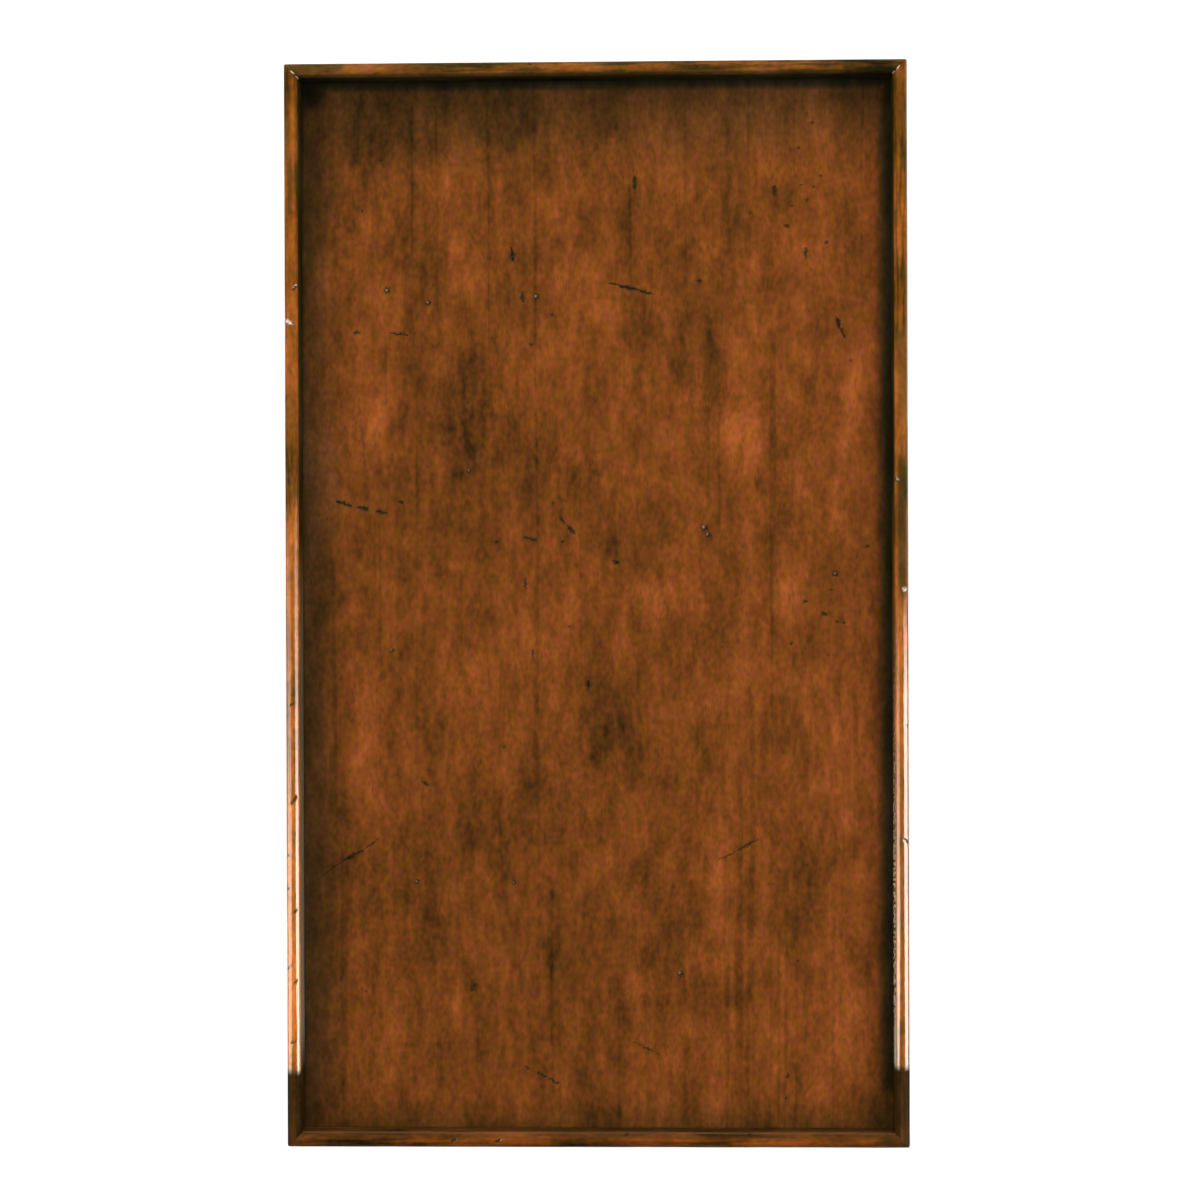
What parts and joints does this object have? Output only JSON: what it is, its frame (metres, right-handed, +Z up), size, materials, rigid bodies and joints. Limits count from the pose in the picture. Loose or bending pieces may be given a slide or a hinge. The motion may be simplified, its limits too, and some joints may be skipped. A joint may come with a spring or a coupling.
{
  "type": "chairside chest",
  "caption": "Narrow wooden chairside chest with a lipped tray top over stacked dovetailed drawers on bail pulls, fielded side panels and tapered feet.",
  "frame": {"origin": "on the floor, under the middle of the chest", "axes": "+Z up, -Y towards the drawer fronts, +X to the right of someone facing the drawers"},
  "size_m": [0.381, 0.664, 0.622],
  "materials": {
    "tray_wood": "aged satin",
    "case_wood": "aged satin",
    "inner_wood": "planed",
    "drawer_wood": "satin",
    "back_board": "stained",
    "aged_brass": "antiqued",
    "screw_steel": "zinc",
    "nylon": "moulded"
  },
  "bodies": {
    "case": {"post_front_left": "case_wood", "post_front_right": "case_wood", "post_back_left": "case_wood", "post_back_right": "case_wood", "front_top_rail": "case_wood", "upper_divider": "case_wood", "lower_divider": "case_wood", "front_apron": "case_wood", "left_side_panel": "case_wood", "left_top_rail": "case_wood", "left_apron": "case_wood", "right_side_panel": "case_wood", "right_top_rail": "case_wood", "right_apron": "case_wood", "cove_moulding": "case_wood", "tray_panel": "tray_wood", "tray_lip_front": "tray_wood", "tray_lip_right": "tray_wood", "tray_lip_back": "tray_wood", "tray_lip_left": "tray_wood", "front_dust_rail": "inner_wood", "back_top_rail": "inner_wood", "back_apron": "inner_wood", "lower_runners": "inner_wood", "middle_runners": "inner_wood", "upper_runners": "inner_wood", "kickers": "inner_wood", "drawer_stops": "inner_wood", "back_panel": "back_board", "back_panel_screws": "screw_steel", "tray_screws": "screw_steel", "foot_glides": "nylon"},
    "upper_drawer": {"upper_drawer_front": "case_wood", "upper_drawer_left_side": "drawer_wood", "upper_drawer_right_side": "drawer_wood", "upper_drawer_back": "drawer_wood", "upper_drawer_bottom": "drawer_wood", "upper_drawer_turn_button": "drawer_wood", "upper_pull_plate": "aged_brass", "upper_pull_posts": "aged_brass"},
    "upper_bail": {"upper_pull_bail": "aged_brass"},
    "middle_drawer": {"middle_drawer_front": "case_wood", "middle_drawer_left_side": "drawer_wood", "middle_drawer_right_side": "drawer_wood", "middle_drawer_back": "drawer_wood", "middle_drawer_bottom": "drawer_wood", "middle_drawer_turn_button": "drawer_wood", "middle_pull_plate": "aged_brass", "middle_pull_posts": "aged_brass"},
    "middle_bail": {"middle_pull_bail": "aged_brass"},
    "lower_drawer": {"lower_drawer_front": "case_wood", "lower_drawer_left_side": "drawer_wood", "lower_drawer_right_side": "drawer_wood", "lower_drawer_back": "drawer_wood", "lower_drawer_bottom": "drawer_wood", "lower_drawer_turn_button": "drawer_wood", "lower_pull_plate": "aged_brass", "lower_pull_posts": "aged_brass"},
    "lower_bail": {"lower_pull_bail": "aged_brass"}
  },
  "joints": [
    {"name": "upper_drawer_slide", "type": "slide", "parent": "case", "child": "upper_drawer", "axis": [0, -1, 0], "range_m": [0, 0.4785]},
    {"name": "upper_bail_swing", "type": "hinge", "parent": "upper_drawer", "child": "upper_bail", "pos_m": [0, -0.3174, 0.506], "axis": [-1, 0, 0], "range_deg": [0, 100]},
    {"name": "middle_drawer_slide", "type": "slide", "parent": "case", "child": "middle_drawer", "axis": [0, -1, 0], "range_m": [0, 0.4785]},
    {"name": "middle_bail_swing", "type": "hinge", "parent": "middle_drawer", "child": "middle_bail", "pos_m": [0, -0.3174, 0.3665], "axis": [-1, 0, 0], "range_deg": [0, 100]},
    {"name": "lower_drawer_slide", "type": "slide", "parent": "case", "child": "lower_drawer", "axis": [0, -1, 0], "range_m": [0, 0.4785]},
    {"name": "lower_bail_swing", "type": "hinge", "parent": "lower_drawer", "child": "lower_bail", "pos_m": [0, -0.3174, 0.2125], "axis": [-1, 0, 0], "range_deg": [0, 100]}
  ]
}
